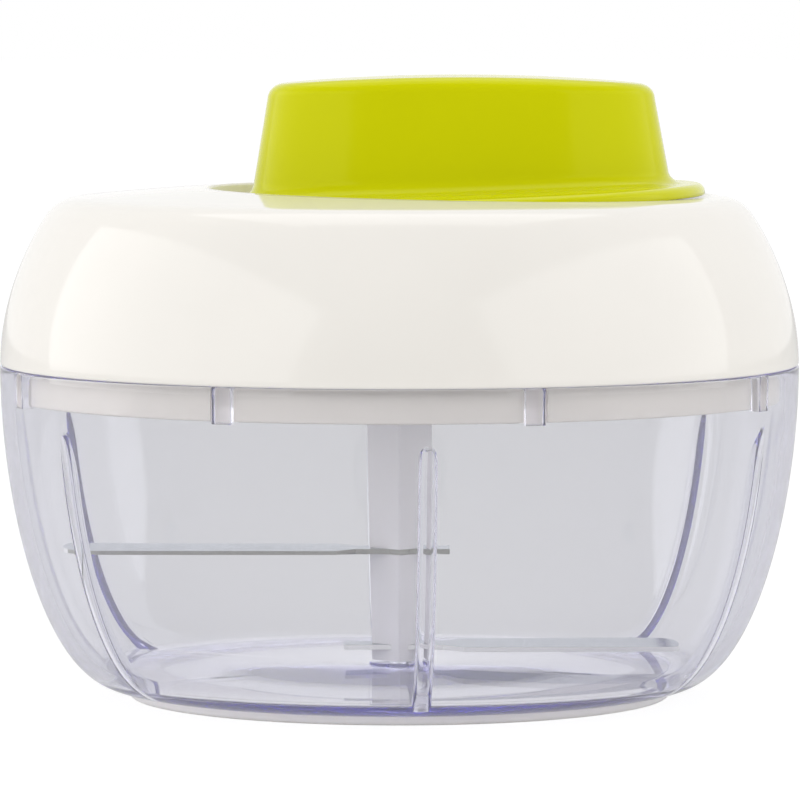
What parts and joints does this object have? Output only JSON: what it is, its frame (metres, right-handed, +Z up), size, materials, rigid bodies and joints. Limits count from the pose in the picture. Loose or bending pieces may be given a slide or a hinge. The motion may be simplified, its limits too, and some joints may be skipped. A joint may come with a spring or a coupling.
{
  "type": "food chopper",
  "caption": "Hand pull-cord food chopper: clear round bowl, two steel blades on an upright shaft, deep domed lid with a sprung cord reel, and a grip docked in the lid.",
  "frame": {"origin": "middle of the base ring's underside, on the surface that the chopper stands on", "axes": "+Z up along the blades' axis, +X towards the side that the grip is offset to, -Y towards the front"},
  "size_m": [0.121, 0.121, 0.094],
  "materials": {
    "clear_plastic": "clear, polished",
    "milky_rubber": "milky, satin",
    "steel": "plain turned steel",
    "blade_steel": "ground and polished",
    "spring_steel": "blued strip",
    "white_gloss_plastic": "high gloss",
    "white_satin_plastic": "satin",
    "grey_plastic": "satin",
    "natural_plastic": "satin",
    "green_plastic": "high gloss",
    "cord": "braided polyester cord"
  },
  "bodies": {
    "bowl_body": {"bowl": "clear_plastic", "base_ring": "milky_rubber", "pivot_pin": "steel"},
    "lid_body": {"lid_cover": "white_gloss_plastic", "lid_base": "white_satin_plastic", "lid_screw_1": "steel", "lid_screw_2": "steel", "lid_screw_3": "steel", "lid_screw_4": "steel", "reel_spindle": "steel", "reel_washer": "steel", "reel_screw": "steel", "spring_cup": "grey_plastic", "spring_cover": "grey_plastic", "recoil_spring": "spring_steel", "spring_screw_1": "steel", "spring_screw_2": "steel", "spring_screw_3": "steel", "cord_guide": "natural_plastic", "cord_winding": "cord", "cord_lead": "cord"},
    "grip_body": {"grip_shell": "green_plastic", "grip_underplate": "grey_plastic", "grip_screw_1": "steel", "grip_screw_2": "steel", "cord_end": "cord"},
    "reel_body": {"cord_reel": "natural_plastic"},
    "hub_body": {"drive_hub": "grey_plastic"},
    "blade_body": {"blade_shaft": "grey_plastic", "upper_blade": "blade_steel", "lower_blade": "blade_steel"},
    "pawl_1_body": {"pawl_1": "natural_plastic"},
    "pawl_2_body": {"pawl_2": "natural_plastic"}
  },
  "joints": [
    {"name": "lid_lift", "type": "slide", "parent": "bowl_body", "child": "lid_body", "axis": [0, 0, 1], "range_m": [0, 0.09]},
    {"name": "grip_pull", "type": "slide", "parent": "lid_body", "child": "grip_body", "axis": [0.7071, 0, 0.7071], "range_m": [0, 0.3], "stiffness_N_per_m": 12, "springref_m": -0.15},
    {"name": "reel_spin", "type": "hinge", "parent": "lid_body", "child": "reel_body", "pos_m": [0, 0, 0.058], "axis": [0, 0, 1], "range_deg": [0, 1064]},
    {"name": "hub_spin", "type": "hinge", "parent": "lid_body", "child": "hub_body", "pos_m": [0, 0, 0.049], "axis": [0, 0, 1], "range_deg": [0, 1064]},
    {"name": "blade_spin", "type": "hinge", "parent": "bowl_body", "child": "blade_body", "pos_m": [0, 0, 0.02], "axis": [0, 0, 1], "range_deg": [0, 1064]},
    {"name": "pawl_1_swing", "type": "hinge", "parent": "reel_body", "child": "pawl_1_body", "pos_m": [0.01037, -0.01152, 0.05], "axis": [0, 0, -1], "range_deg": [0, 12], "stiffness_Nm_per_rad": 0.0002, "springref_deg": -11.46},
    {"name": "pawl_2_swing", "type": "hinge", "parent": "reel_body", "child": "pawl_2_body", "pos_m": [-0.01037, 0.01152, 0.05], "axis": [0, 0, -1], "range_deg": [0, 12], "stiffness_Nm_per_rad": 0.0002, "springref_deg": -11.46}
  ],
  "couplings": [
    {"joint": "reel_spin", "follows": "grip_pull", "rad_per_m": 61.728},
    {"joint": "hub_spin", "follows": "grip_pull", "rad_per_m": 61.728},
    {"joint": "blade_spin", "follows": "grip_pull", "rad_per_m": 61.728}
  ]
}
